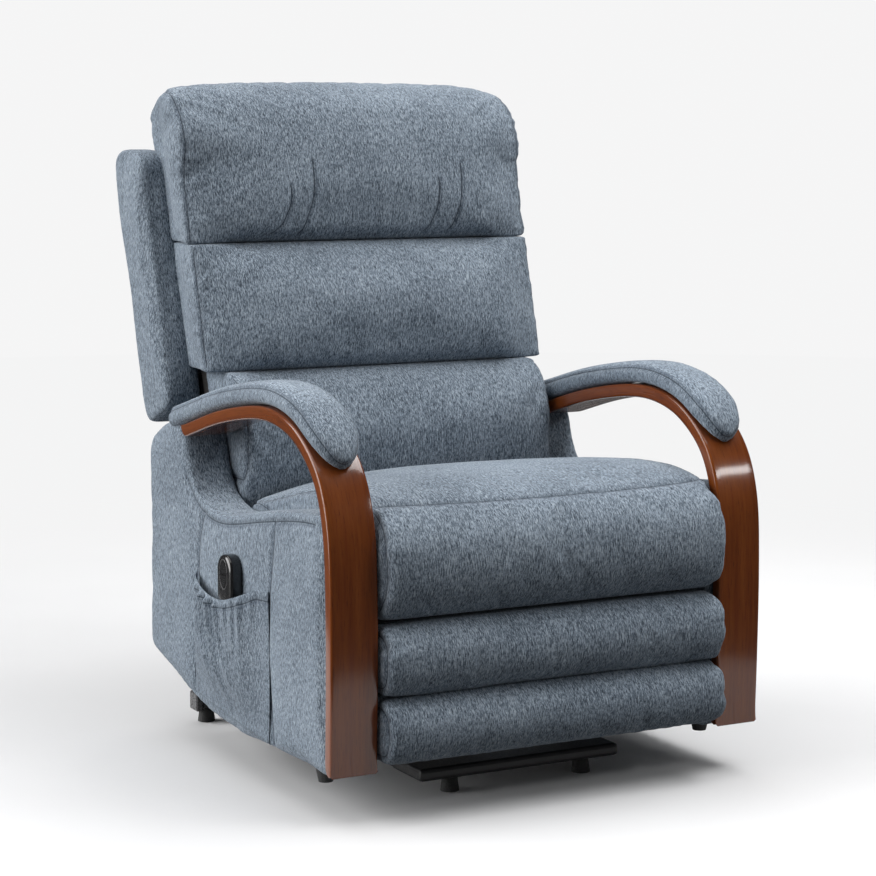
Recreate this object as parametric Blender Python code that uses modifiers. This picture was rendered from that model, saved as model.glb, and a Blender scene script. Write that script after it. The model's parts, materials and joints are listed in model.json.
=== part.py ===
"""Lift recliner chair with bentwood arms, as separate solids in metres.

+Z is up, the chair faces -Y, and X runs across it. The origin is on the floor under its middle.
The sitter's left is +X; the handset pocket is on the right, -X.
"""

from math import asin, atan2, cos, pi, radians, sin

import bmesh
import bpy
from mathutils import Matrix, Vector

GAP = 0.0003  # between pieces that touch
SIDES = (("left", 1), ("right", -1))

# Across the chair
BAND_INNER, BAND_OUTER = 0.298, 0.375
PAD_INNER, PAD_OUTER = 0.289, 0.381
PANEL_INNER, PANEL_OUTER = 0.292, 0.366
WING_INNER, WING_OUTER = 0.2885, 0.342
SEAT_HALF_WIDTH = 0.2895
FOOTREST_HALF_WIDTH = 0.285
HEADREST_HALF_WIDTH = 0.308
MID_HALF_WIDTH = 0.305
LUMBAR_HALF_WIDTH = 0.287
BOARD_HALF_WIDTH = 0.287
SHELL_HALF_WIDTH = 0.278

# Bentwood arm bands
BAND_THICKNESS = 0.0215
BAND_LINE = (
    (0.113, 0.5225), (-0.046, 0.5635), (-0.197, 0.5855), (-0.292, 0.577), (-0.358, 0.5475),
    (-0.405, 0.503), (-0.4315, 0.435), (-0.4385, 0.345), (-0.4385, 0.210), (-0.4345, 0.076),
)
BAND_STEPS = 6

# Backrest: the plane that its cushions rest on leans back from the pivot
BACK_PIVOT = (0.10, 0.36)
BACK_FOOT = (0.205, 0.575)
BACK_SLOPE = 1 / 3
BOARD_THICKNESS = 0.022
BOARD_LOW, BOARD_HIGH = 0.490, 1.030
WING_REAR = (
    (0.328, 0.521), (0.348, 0.555), (0.373, 0.624), (0.397, 0.702), (0.421, 0.780),
    (0.450, 0.858), (0.464, 0.929), (0.468, 0.955),
)

# Base on the floor
TUBE = 0.028
FOOT_HEIGHT = 0.022
RAIL_X = 0.160
REAR_TUBE_HALF = 0.290
REAR_TUBE_Y = 0.255
CAP_LENGTH = 0.012
FRONT_BAR_REAR, FRONT_BAR_FRONT = -0.250, -0.350
FRONT_BAR_HALF = 0.178
FRONT_BAR_HEIGHT = 0.020
FOOT_RADIUS = 0.015
FOOT_PLACES = (("front", 0.118, -0.332), ("rear", 0.278, REAR_TUBE_Y))

# Lift linkage, as points in the Y-Z plane
LIFT_PIVOT = (-0.100, 0.075)
LIFT_PIN = (0.205, 0.085)
FRONT_LINK_FOOT = (-0.183, 0.073)
FRONT_LINK_PIN = (0.031, 0.092)
LIFT_TURN = radians(75)
LIFT_CRANK = 0.090
LIFT_MOTOR = (0.225, 0.078)
ARM_WIDTH = 0.034
LINK_WIDTH = 0.024
PLATE = 0.005
BRACKET_X = 0.1745
LIFT_ARM_X = 0.1825
HANGER_X = 0.1995
FRONT_LINK_X = 0.1925

# Footrest linkage
FOOTREST_PIVOT = (-0.248, 0.261)
FOOTREST_ELBOW = (-0.214, 0.118)
FOOTREST_PIN = (-0.378, 0.217)
FOOTREST_TURN = radians(97.9)
FOOTREST_CRANK = 0.065
FOOTREST_MOTOR = (0.145, 0.185)
REAR_LINK_X = 0.2790
FORE_LINK_X = 0.2725
LUG_X = 0.2660
FRAME_PLATE_X = 0.2875
FRAME_PLATE_THICKNESS = 0.004

# Actuators
ROD_RADIUS = 0.008
BORE_RADIUS = 0.0095
SLEEVE_RADIUS = 0.0155
EYE_RADIUS = 0.011
LIFT_ACTUATOR_X = -0.050
RECLINE_ACTUATOR_X = 0.100

# Handset and its pocket
HANDSET_WIDTH, HANDSET_DEPTH, HANDSET_HEIGHT = 0.056, 0.023, 0.130
HANDSET_CENTRE_Y = -0.0925
HANDSET_TOP = 0.353
POCKET_REAR, POCKET_FRONT = 0.066, -0.214
POCKET_LOW, POCKET_HIGH = 0.082, 0.290
POCKET_WALL = 0.002


def clear_scene():
    for item in list(bpy.data.objects):
        bpy.data.objects.remove(item, do_unlink=True)


def new_collection(name):
    made = bpy.data.collections.new(name)
    bpy.context.scene.collection.children.link(made)
    return made


def new_material(name, colour, roughness, metallic=0.0):
    made = bpy.data.materials.new(name)
    made.use_nodes = True
    shader = made.node_tree.nodes["Principled BSDF"]
    shader.inputs["Base Color"].default_value = (*colour, 1.0)
    shader.inputs["Roughness"].default_value = roughness
    shader.inputs["Metallic"].default_value = metallic
    return made


clear_scene()
PIECES = new_collection("lift_recliner_chair")
CUTTERS = new_collection("cutters")
FABRIC = ("fabric", (0.105, 0.150, 0.210), 0.92)
WOOD = ("varnished_wood", (0.170, 0.050, 0.022), 0.25)
STEEL = ("black_steel", (0.020, 0.020, 0.022), 0.45, 0.6)
RUBBER = ("rubber", (0.012, 0.012, 0.012), 0.80)
PLASTIC = ("black_plastic", (0.010, 0.010, 0.011), 0.18)
CAP_PLASTIC = ("grey_plastic", (0.060, 0.060, 0.065), 0.50)
BOARD = ("plywood", (0.400, 0.270, 0.150), 0.70)
ROD_STEEL = ("bright_steel", (0.600, 0.600, 0.620), 0.25, 1.0)


def finish(piece, look, body=None, helper=False):
    """Puts the object in its collection, with its own material, under its body's empty."""
    if helper:
        CUTTERS.objects.link(piece)
        piece.hide_render = True
        piece.display_type = "WIRE"
        return piece
    PIECES.objects.link(piece)
    piece.data.materials.append(new_material(f"{piece.name}_{look[0]}", *look[1:]))
    if body is not None:
        piece.parent = body
        piece.matrix_parent_inverse = Matrix.Translation(-body.location)
    return piece


def body_at(name, place_yz, x=0.0):
    """An empty on a joint's axis, which the body's pieces are parented to."""
    empty = bpy.data.objects.new(name, None)
    empty.empty_display_size = 0.03
    empty.location = (x, *place_yz)
    PIECES.objects.link(empty)
    return empty


def soften(piece, width, segments, angle=35):
    if width > 0:
        bevel = piece.modifiers.new("Rounded edges", "BEVEL")
        bevel.width = width
        bevel.segments = segments
        bevel.limit_method = "ANGLE"
        bevel.angle_limit = radians(angle)
        bevel.use_clamp_overlap = True


def outline_curve(name, outline, thickness):
    """A flat outline, extruded to this thickness about its own plane."""
    curve = bpy.data.curves.new(name, "CURVE")
    curve.dimensions = "2D"
    curve.fill_mode = "BOTH"
    curve.extrude = thickness / 2
    line = curve.splines.new("POLY")
    line.points.add(len(outline) - 1)
    for point, (across, up) in zip(line.points, outline):
        point.co = (across, up, 0, 1)
    line.use_cyclic_u = True
    return bpy.data.objects.new(name, curve)


def flat_mesh(name, outline, thickness):
    """The extruded outline as a closed mesh, with its caps still loose."""
    guide = outline_curve(name + "_outline", outline, thickness)
    PIECES.objects.link(guide)
    bpy.context.view_layer.update()
    graph = bpy.context.evaluated_depsgraph_get()
    mesh = bpy.data.meshes.new_from_object(guide.evaluated_get(graph))
    bpy.data.objects.remove(guide)
    return mesh


def plate(name, outline, low_x, high_x, look, body=None, edge=0.0, segments=1, helper=False):
    """An outline in the Y-Z plane, from low_x to high_x, as a closed mesh."""
    mesh = flat_mesh(name, outline, abs(high_x - low_x))
    return mesh_piece(name, mesh, look, body, edge, segments, helper,
                      ((low_x + high_x) / 2, 0, 0), (pi / 2, 0, pi / 2))


def facing(name, outline, low_y, high_y, look, body=None, helper=False):
    """An outline in the X-Z plane, from low_y to high_y."""
    mesh = flat_mesh(name, outline, high_y - low_y)
    return mesh_piece(name, mesh, look, body, 0.0, 1, helper, (0, (low_y + high_y) / 2, 0),
                      (pi / 2, 0, 0))


def standing(name, outline, low, high, look, body, helper=False):
    """An outline in the X-Y plane, from low to high."""
    mesh = flat_mesh(name, outline, high - low)
    return mesh_piece(name, mesh, look, body, 0.0, 1, helper, (0, 0, (low + high) / 2), (0, 0, 0))


def mesh_piece(name, mesh, look, body, edge, segments, helper, location, rotation):
    work = bmesh.new()
    work.from_mesh(mesh)
    bmesh.ops.remove_doubles(work, verts=work.verts, dist=1e-6)
    bmesh.ops.recalc_face_normals(work, faces=work.faces)
    work.to_mesh(mesh)
    work.free()
    mesh.name = name
    piece = bpy.data.objects.new(name, mesh)
    piece.location = location
    piece.rotation_euler = rotation
    soften(piece, edge, segments)
    return finish(piece, look, body, helper)


def box(name, size, centre, look, body=None, edge=0.0, segments=1, tilt=0.0, helper=False):
    """A box that may lean by tilt about the X axis."""
    mesh = bpy.data.meshes.new(name)
    work = bmesh.new()
    bmesh.ops.create_cube(work, size=1.0, matrix=Matrix.Diagonal((*size, 1.0)))
    work.to_mesh(mesh)
    work.free()
    return mesh_piece(name, mesh, look, body, edge, segments, helper, centre, (tilt, 0, 0))


def cylinder(name, radius, length, centre, axis, look, body=None, sides=20, end_radius=None,
             helper=False):
    """A cylinder or cone about axis; end_radius is its radius at the axis's far end."""
    mesh = bpy.data.meshes.new(name)
    work = bmesh.new()
    bmesh.ops.create_cone(work, cap_ends=True, segments=sides, radius1=radius,
                          radius2=radius if end_radius is None else end_radius, depth=length)
    work.to_mesh(mesh)
    work.free()
    mesh.shade_smooth()
    mesh.set_sharp_from_angle(angle=radians(40))
    turned = Vector((0, 0, 1)).rotation_difference(Vector(axis)).to_euler()
    return mesh_piece(name, mesh, look, body, 0.0, 1, helper, centre, turned)


def combine(piece, helper, operation):
    boolean = piece.modifiers.new(f"{operation} {helper.name}", "BOOLEAN")
    boolean.operation = operation
    boolean.solver = "EXACT"
    boolean.object = helper
    return piece


def smooth_line(points, steps):
    """Points of a Catmull-Rom curve through these points."""
    first = [2 * a - b for a, b in zip(points[0], points[1])]
    last = [2 * a - b for a, b in zip(points[-1], points[-2])]
    held = [Vector(p) for p in (first, *points, last)]
    line = []
    for before, start, end, after in zip(held, held[1:], held[2:], held[3:]):
        for step in range(steps):
            t = step / steps
            line.append(0.5 * (2 * start + (end - before) * t
                               + (2 * before - 5 * start + 4 * end - after) * t * t
                               + (3 * start - before - 3 * end + after) * t ** 3))
    return line + [held[-2]]


def offset_line(line, distance):
    """The line moved sideways, to the left of its direction."""
    moved = []
    for index, point in enumerate(line):
        ahead = line[min(index + 1, len(line) - 1)] - line[max(index - 1, 0)]
        ahead.normalize()
        moved.append(point + distance * Vector((-ahead.y, ahead.x)))
    return moved


def stadium(start, end, width, sides=8):
    """A bar with round ends from one point to another."""
    lean = atan2(end[1] - start[1], end[0] - start[0])
    points = []
    for (y, z), turn in ((end, lean - pi / 2), (start, lean + pi / 2)):
        for step in range(sides + 1):
            angle = turn + pi * step / sides
            points.append((y + width / 2 * cos(angle), z + width / 2 * sin(angle)))
    return points


def back_plane(z, behind=0.0):
    """The point at this height on the plane behind the back cushions, or this far behind it."""
    return (BACK_FOOT[0] + (z - BACK_FOOT[1]) * BACK_SLOPE + behind, z)


def make_base():
    rear_y, rail_z = REAR_TUBE_Y, FOOT_HEIGHT + GAP + TUBE / 2
    box("base_rear_tube", (2 * REAR_TUBE_HALF, TUBE, TUBE), (0, rear_y, rail_z), STEEL, edge=0.003)
    depth = FRONT_BAR_REAR - FRONT_BAR_FRONT
    box("base_front_bar", (2 * FRONT_BAR_HALF, depth, FRONT_BAR_HEIGHT),
        (0, FRONT_BAR_FRONT + depth / 2, FOOT_HEIGHT + GAP + FRONT_BAR_HEIGHT / 2),
        STEEL, edge=0.006, segments=2)
    rail_front, rail_rear = FRONT_BAR_REAR + GAP, rear_y - TUBE / 2 - GAP
    for side, sign in SIDES:
        box(f"base_rail_{side}", (TUBE, rail_rear - rail_front, TUBE),
            (sign * RAIL_X, (rail_rear + rail_front) / 2, rail_z), STEEL, edge=0.003)
        box(f"rear_tube_cap_{side}", (CAP_LENGTH, TUBE + 0.004, TUBE + 0.004),
            (sign * (REAR_TUBE_HALF + GAP + CAP_LENGTH / 2), rear_y, rail_z), CAP_PLASTIC,
            edge=0.002)
        make_lift_bracket(side, sign)
        for end, x, y in FOOT_PLACES:
            cylinder(f"foot_pad_{end}_{side}", FOOT_RADIUS, FOOT_HEIGHT,
                     (sign * x, y, FOOT_HEIGHT / 2), (0, 0, 1), RUBBER, end_radius=0.012)


def make_lift_bracket(side, sign):
    """The ear on a base rail that holds the lift shaft and the front link's foot."""
    low = FOOT_HEIGHT + 0.002
    outline = ((-0.205, low), (-0.205, 0.085), (-0.190, 0.093), (-0.110, 0.096),
               (-0.080, 0.090), (-0.072, low))
    ear = plate(f"lift_bracket_{side}", outline, sign * BRACKET_X, sign * (BRACKET_X + PLATE),
                STEEL)
    hole = cylinder(f"shaft_hole_{side}", 0.0135, 0.03, (sign * BRACKET_X, *LIFT_PIVOT),
                    (1, 0, 0), STEEL, helper=True)
    combine(ear, hole, "DIFFERENCE")


def crank_point(pivot, radius, motor, turn, way):
    """Where an actuator's rod meets its crank at rest, so that it meets it again after turn.

    The rod's line passes the pivot at radius * cos(turn / 2), on the side that way names.
    """
    to_pivot = Vector(pivot) - Vector(motor)
    clear = radius * cos(turn / 2)
    lean = atan2(to_pivot.y, to_pivot.x) + way * asin(clear / to_pivot.length)
    along = Vector((cos(lean), sin(lean)))
    nearest = Vector(motor) + along * (to_pivot.length ** 2 - clear ** 2) ** 0.5
    half_stroke = radius * sin(turn / 2)
    return nearest - along * half_stroke, along, 2 * half_stroke


def make_crank_shaft(name, pivot, half_length, radius, crank_end, crank_x, body):
    """A shaft across the chair with two lugs that hold an actuator's rod end between them."""
    shaft = cylinder(name, radius, 2 * half_length, (0, *pivot), (1, 0, 0), STEEL, body, sides=16)
    for number, offset in enumerate((-0.016, 0.010)):
        lug = plate(f"{name}_lug_{number}", stadium(pivot, crank_end, 0.026, 6),
                    crank_x + offset, crank_x + offset + 0.006, STEEL, helper=True)
        combine(shaft, lug, "UNION")
    return shaft


def make_actuator(prefix, motor, along, closed, stroke, x, body, rod_body):
    """A motor with a hollow sleeve, and the rod that slides out of it."""
    lean = atan2(along.y, along.x)
    axis = (0, along.x, along.y)
    start = Vector((x, *motor))
    way = Vector(axis)
    sleeve_length = closed - 0.022
    sleeve = cylinder(f"{prefix}_motor", SLEEVE_RADIUS, sleeve_length,
                      start + way * sleeve_length / 2, axis, PLASTIC, body, sides=16)
    gearbox = box(f"{prefix}_gearbox", (0.042, 0.075, 0.044), start + way * 0.020, PLASTIC,
                  edge=0.005, tilt=lean, helper=True)
    drive = cylinder(f"{prefix}_drive", 0.0195, 0.095, start + way * 0.020 + Vector((0.050, 0, 0)),
                     (1, 0, 0), PLASTIC, sides=20, helper=True)
    bore_start = 0.075
    bore_length = closed - bore_start
    bore = cylinder(f"{prefix}_bore", BORE_RADIUS, bore_length,
                    start + way * (bore_start + bore_length / 2), axis, STEEL, sides=16,
                    helper=True)
    combine(sleeve, gearbox, "UNION")
    combine(sleeve, drive, "UNION")
    combine(sleeve, bore, "DIFFERENCE")
    rod_start = bore_start + 0.004
    rod = cylinder(f"{prefix}_rod", ROD_RADIUS, closed - rod_start,
                   start + way * (closed + rod_start) / 2, axis, ROD_STEEL, rod_body, sides=12)
    eye = cylinder(f"{prefix}_eye", EYE_RADIUS, 0.018, start + way * closed, (1, 0, 0), ROD_STEEL,
                   sides=16, helper=True)
    return combine(rod, eye, "UNION")


def make_lift(chair):
    arms = body_at("lift_arms_axis", LIFT_PIVOT)
    front = body_at("front_links_axis", FRONT_LINK_FOOT)
    crank_end, along, stroke = crank_point(LIFT_PIVOT, LIFT_CRANK, LIFT_MOTOR, LIFT_TURN, -1)
    make_crank_shaft("lift_shaft", LIFT_PIVOT, LIFT_ARM_X - GAP, 0.012, tuple(crank_end),
                     LIFT_ACTUATOR_X, arms)
    rod_body = body_at("lift_rod_axis", tuple(crank_end), LIFT_ACTUATOR_X)
    closed = (crank_end - Vector(LIFT_MOTOR)).length
    make_actuator("lift", LIFT_MOTOR, along, closed, stroke, LIFT_ACTUATOR_X, None, rod_body)
    for side, sign in SIDES:
        plate(f"lift_arm_{side}", stadium(LIFT_PIVOT, LIFT_PIN, ARM_WIDTH),
              sign * LIFT_ARM_X, sign * (LIFT_ARM_X + 0.006), STEEL, arms)
        plate(f"front_lift_link_{side}", stadium(FRONT_LINK_FOOT, FRONT_LINK_PIN, LINK_WIDTH),
              sign * FRONT_LINK_X, sign * (FRONT_LINK_X + PLATE), STEEL, front)
        hanger = ((0.012, 0.078), (0.050, 0.078), (0.055, 0.105), (0.032, 0.2940), (-0.004, 0.2940))
        plate(f"front_link_hanger_{side}", hanger, sign * HANGER_X, sign * (HANGER_X + PLATE),
              STEEL, chair)
    make_lift_cross_tube(chair)


def make_lift_cross_tube(chair):
    """The chair frame's rear tube, with the ears that the lift arms' rear pins go through."""
    tube = box("lift_cross_tube", (2 * (FRAME_PLATE_X - GAP), 0.025, 0.025), (0, 0.205, 0.137),
               STEEL, chair)
    for side, sign in SIDES:
        ear = plate(f"lift_ear_{side}", ((0.188, 0.070), (0.222, 0.070), (0.222, 0.140),
                                         (0.188, 0.140)),
                    sign * BRACKET_X, sign * (BRACKET_X + PLATE), STEEL, helper=True)
        combine(tube, ear, "UNION")


def make_chair_frame(chair):
    outline = [(-0.345, 0.236), (-0.345, 0.3255), (0.055, 0.3255), (0.078, 0.372), (0.090, 0.384),
               (0.112, 0.384), (0.125, 0.370), (0.170, 0.250), (0.235, 0.160), (0.232, 0.118),
               (0.178, 0.118), (0.130, 0.225), (-0.140, 0.236)]
    for side, sign in SIDES:
        plate(f"frame_plate_{side}", outline, sign * FRAME_PLATE_X,
              sign * (FRAME_PLATE_X + FRAME_PLATE_THICKNESS), STEEL, chair)
    inside = 2 * (FRAME_PLATE_X - GAP)
    box("seat_cross_front", (inside, 0.025, 0.025), (0, -0.3125, 0.3130), STEEL, chair)
    box("seat_cross_rear", (inside, 0.025, 0.030), (0, 0.014, 0.3100), STEEL, chair)
    box("seat_deck", (inside, 0.385, 0.015), (0, -0.1655, 0.3335), BOARD, chair, edge=0.003)


def make_seat(chair):
    outline = [(-0.445, 0.297), (-0.468, 0.312), (-0.480, 0.345), (-0.483, 0.395),
               (-0.472, 0.440), (-0.446, 0.466), (-0.400, 0.484), (-0.340, 0.491),
               (-0.200, 0.484), (-0.080, 0.466), (0.010, 0.447), (0.034, 0.430),
               (0.036, 0.405), (0.036, 0.3415), (-0.362, 0.3415), (-0.372, 0.297)]
    plate("seat_cushion", outline, -SEAT_HALF_WIDTH, SEAT_HALF_WIDTH, FABRIC, chair,
          edge=0.014, segments=2)


def side_panel_outline():
    swoop = smooth_line(((0.118, 0.510), (0.106, 0.470), (0.078, 0.428), (0.030, 0.408),
                         (-0.041, 0.404), (-0.162, 0.425), (-0.300, 0.447), (-0.403, 0.456)), 2)
    foot = ((-0.4185, 0.425), (-0.4185, 0.070), (-0.216, 0.070), (-0.100, 0.066), (0.020, 0.074), (0.126, 0.093),
            (0.238, 0.123), (0.285, 0.138))
    rear = ((0.287, 0.283), (0.280, 0.478), (0.266, 0.500), (0.223, 0.521), (0.151, 0.546))
    return [tuple(point) for point in swoop] + [*foot, *rear]


def make_sides(chair):
    for side, sign in SIDES:
        plate(f"side_panel_{side}", side_panel_outline(), sign * PANEL_INNER, sign * PANEL_OUTER,
              FABRIC, chair, edge=0.005)
        plate(f"arm_band_{side}", band_outline(), sign * BAND_INNER, sign * BAND_OUTER, WOOD,
              chair, edge=0.002)
        plate(f"arm_pad_{side}", pad_outline(), sign * PAD_INNER, sign * PAD_OUTER, FABRIC,
              chair, edge=0.011, segments=2)
        cylinder(f"front_glide_{side}", 0.011, 0.0245, (sign * 0.335, -0.345, 0.0573), (0, 0, 1),
                 RUBBER, chair, end_radius=0.016)


def band_outline():
    line = smooth_line(BAND_LINE, BAND_STEPS)
    outer = offset_line(line, -BAND_THICKNESS / 2)
    inner = offset_line(line, BAND_THICKNESS / 2)
    return [tuple(point) for point in outer + inner[::-1]]


def pad_outline():
    """The pad lies along the top of its band and ends in a nose just over the bend."""
    band_top = offset_line(smooth_line(BAND_LINE, BAND_STEPS), -BAND_THICKNESS / 2 - 2 * GAP)
    under = [tuple(point) for point in band_top if point.x > -0.405]
    top = smooth_line(((0.182, 0.546), (0.172, 0.560), (0.100, 0.585), (0.000, 0.612),
                       (-0.100, 0.628), (-0.200, 0.635), (-0.270, 0.633), (-0.340, 0.617),
                       (-0.392, 0.590), (-0.425, 0.560), (-0.424, 0.540), (-0.408, 0.524)), 2)
    return [tuple(point) for point in top] + under[::-1] + [(0.149, 0.5477)]


def make_pocket(chair):
    """A bag on the right panel, open at the top: a bowed front sheet over the panel's face."""
    face = -PANEL_OUTER - GAP
    front = face - HANDSET_DEPTH - POCKET_WALL - 0.0025
    low, high = POCKET_LOW, POCKET_HIGH
    bag = ((face, POCKET_REAR), (face, POCKET_FRONT), (face - 0.004, POCKET_FRONT),
           (front, HANDSET_CENTRE_Y - 0.045), (front, HANDSET_CENTRE_Y + 0.045),
           (face - 0.004, POCKET_REAR))
    hollow = ((face + 0.01, POCKET_REAR - 0.020), (face + 0.01, POCKET_FRONT + 0.020),
              (face - 0.002, POCKET_FRONT + 0.020),
              (front + POCKET_WALL, HANDSET_CENTRE_Y - 0.0430),
              (front + POCKET_WALL, HANDSET_CENTRE_Y + 0.0430), (face - 0.002, POCKET_REAR - 0.020))
    pocket = standing("side_pocket", bag, low, high, FABRIC, chair)
    combine(pocket, standing("pocket_hollow", hollow, low + 0.012, high + 0.02, FABRIC, None, True),
            "DIFFERENCE")


def make_handset():
    """A flat black handset that stands in the pocket, with a split oval rocker on its face."""
    back_x = -PANEL_OUTER - 0.0012
    face_x = back_x - HANDSET_DEPTH
    middle_z = HANDSET_TOP - HANDSET_HEIGHT / 2
    holder = body_at("handset_axis", (HANDSET_CENTRE_Y, middle_z), back_x - HANDSET_DEPTH / 2)
    corner = 0.026
    outline = []
    for y, z, start in ((1, 1, 0.0), (-1, 1, pi / 2), (-1, -1, pi), (1, -1, 3 * pi / 2)):
        for step in range(6):
            angle = start + pi / 2 * step / 5
            outline.append((HANDSET_CENTRE_Y + y * (HANDSET_WIDTH / 2 - corner) + corner * cos(angle),
                            middle_z + z * (HANDSET_HEIGHT / 2 - corner) + corner * sin(angle)))
    body = plate("handset_body", outline, back_x, face_x, PLASTIC, holder, edge=0.004, segments=2)
    oval_z, half_high, half_wide, recess = HANDSET_TOP - 0.031, 0.022, 0.014, 0.004
    well = plate("button_well", oval(oval_z, half_high, half_wide, 0, 2 * pi), face_x - 0.01,
                 face_x + recess, PLASTIC, helper=True)
    combine(body, well, "DIFFERENCE")
    for name, start in (("up", 0.0), ("down", pi)):
        lift = 0.0008 * (1 if name == "up" else -1)
        key = oval(oval_z + lift, half_high - 0.0018, half_wide - 0.0009, start, start + pi)
        plate(f"handset_button_{name}", key, face_x - 0.001, face_x + 0.0025, PLASTIC,
              body_at(f"button_{name}_axis", (HANDSET_CENTRE_Y, oval_z), face_x))


def oval(middle_z, half_high, half_wide, start, end, steps=16):
    """An ellipse, or the part of one between two angles, about the handset's middle."""
    full = end - start > 1.9 * pi
    count = steps if full else steps // 2
    return [(HANDSET_CENTRE_Y + half_wide * cos(start + (end - start) * step / count),
             middle_z + half_high * sin(start + (end - start) * step / count))
            for step in range(count + (0 if full else 1))]


def make_back():
    back = body_at("backrest_axis", BACK_PIVOT)
    behind = BOARD_THICKNESS + 0.001
    board = [back_plane(BOARD_LOW, 0.0005), back_plane(BOARD_HIGH, 0.0005),
             back_plane(BOARD_HIGH, BOARD_THICKNESS), back_plane(BOARD_LOW, BOARD_THICKNESS)]
    plate("back_board", board, -BOARD_HALF_WIDTH, BOARD_HALF_WIDTH, BOARD, back)
    shell = [back_plane(0.512, behind), *WING_REAR, (0.469, 0.990), (0.462, 1.018), (0.447, 1.034),
             back_plane(1.034, behind)]
    plate("back_shell", shell, -SHELL_HALF_WIDTH, SHELL_HALF_WIDTH, FABRIC, back, edge=0.006)
    wing = [*WING_REAR, (0.460, 0.968), (0.440, 0.972), (0.365, 0.967), (0.347, 0.958),
            (0.334, 0.900), (0.302, 0.785), (0.264, 0.672), (0.233, 0.562)]
    bar = [(0.088, 0.373), (0.086, 0.354), (0.097, 0.343), (0.114, 0.345), (0.240, 0.478),
           (0.276, 0.600), (0.2420, 0.600), (0.2065, 0.485)]
    for side, sign in SIDES:
        plate(f"back_wing_{side}", wing, sign * WING_INNER, sign * WING_OUTER, FABRIC, back,
              edge=0.007)
        plate(f"back_hinge_arm_{side}", bar, sign * 0.2815, sign * 0.2865, STEEL, back)
    make_back_cushions(back)


def make_back_cushions(back):
    lumbar = [back_plane(0.500), (0.145, 0.434), (0.062, 0.434), (0.046, 0.470), (0.045, 0.520),
              (0.058, 0.566), (0.082, 0.600), (0.117, 0.6125), back_plane(0.6125)]
    middle = [back_plane(0.6145), (0.118, 0.6145), (0.101, 0.632), (0.102, 0.670),
              (0.122, 0.740), (0.148, 0.795), (0.189, 0.8205), back_plane(0.8205)]
    head = [back_plane(0.8235), (0.189, 0.8235), (0.172, 0.845), (0.179, 0.900), (0.204, 0.980),
            (0.236, 1.043), (0.278, 1.080), (0.325, 1.091), (0.370, 1.083), (0.400, 1.062),
            (0.412, 1.0365), back_plane(1.0365, BOARD_THICKNESS), back_plane(1.0365)]
    for name, outline, half in (("lumbar_cushion", lumbar, LUMBAR_HALF_WIDTH),
                                ("mid_back_cushion", middle, MID_HALF_WIDTH),
                                ("headrest_cushion", head, HEADREST_HALF_WIDTH)):
        plate(name, outline, -half, half, FABRIC, back, edge=0.010, segments=2)
    arch = smooth_line(((half, 0.800), (half, 0.990), (0.300, 1.040), (0.272, 1.066),
                        (0.180, 1.083), (0.0, 1.092)), 3)
    arch += [Vector((-point.x, point.y)) for point in arch[-2::-1]]
    combine(bpy.data.objects["headrest_cushion"],
            facing("headrest_arch", [tuple(point) for point in arch], 0.0, 0.6, FABRIC,
                   helper=True), "INTERSECT")


def make_footrest():
    rear = body_at("footrest_rear_links_axis", FOOTREST_PIVOT)
    fore = body_at("footrest_fore_links_axis", FOOTREST_ELBOW)
    rest = body_at("footrest_axis", FOOTREST_PIN)
    for side, sign in SIDES:
        plate(f"footrest_rear_link_{side}", stadium(FOOTREST_PIVOT, FOOTREST_ELBOW, LINK_WIDTH),
              sign * REAR_LINK_X, sign * (REAR_LINK_X + PLATE), STEEL, rear)
        plate(f"footrest_fore_link_{side}", stadium(FOOTREST_ELBOW, FOOTREST_PIN, LINK_WIDTH),
              sign * FORE_LINK_X, sign * (FORE_LINK_X + PLATE), STEEL, fore)
    crank_end, along, stroke = crank_point(FOOTREST_PIVOT, FOOTREST_CRANK, FOOTREST_MOTOR,
                                           FOOTREST_TURN, 1)
    make_crank_shaft("footrest_shaft", FOOTREST_PIVOT, REAR_LINK_X - GAP, 0.010, tuple(crank_end),
                     RECLINE_ACTUATOR_X, rear)
    return rear, fore, rest, crank_end, along, stroke


def make_footrest_pad(rest):
    board = box("footrest_board", (2 * 0.272, 0.010, 0.185), (0, -0.3955, 0.1925), BOARD, rest)
    for side, sign in SIDES:
        lug = plate(f"footrest_lug_{side}", stadium((-0.387, FOOTREST_PIN[1]), FOOTREST_PIN, 0.024),
                    sign * LUG_X, sign * (LUG_X + PLATE), STEEL, helper=True)
        combine(board, lug, "UNION")
    upper = [(-0.4010, 0.292), (-0.446, 0.2935), (-0.470, 0.282), (-0.480, 0.258),
             (-0.480, 0.226), (-0.472, 0.200), (-0.452, 0.1875), (-0.4010, 0.1875)]
    lower = [(-0.4010, 0.1855), (-0.452, 0.1855), (-0.476, 0.172), (-0.484, 0.150),
             (-0.483, 0.118), (-0.474, 0.096), (-0.455, 0.087), (-0.4010, 0.087)]
    plate("footrest_upper_cushion", upper, -FOOTREST_HALF_WIDTH, FOOTREST_HALF_WIDTH, FABRIC,
          rest, edge=0.010, segments=2)
    plate("footrest_lower_cushion", lower, -FOOTREST_HALF_WIDTH, FOOTREST_HALF_WIDTH, FABRIC,
          rest, edge=0.010, segments=2)


def build():
    chair = body_at("chair_frame_axis", LIFT_PIN)
    make_base()
    make_lift(chair)
    make_chair_frame(chair)
    make_seat(chair)
    make_sides(chair)
    make_pocket(chair)
    make_handset()
    make_back()
    rear, fore, rest, crank_end, along, stroke = make_footrest()
    make_footrest_pad(rest)
    rod_body = body_at("recline_rod_axis", tuple(crank_end), RECLINE_ACTUATOR_X)
    closed = (crank_end - Vector(FOOTREST_MOTOR)).length
    make_actuator("recline", FOOTREST_MOTOR, along, closed, stroke, RECLINE_ACTUATOR_X, chair,
                  rod_body)


build()
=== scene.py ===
import json
from math import cos, pi, radians, sin, sqrt

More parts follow.
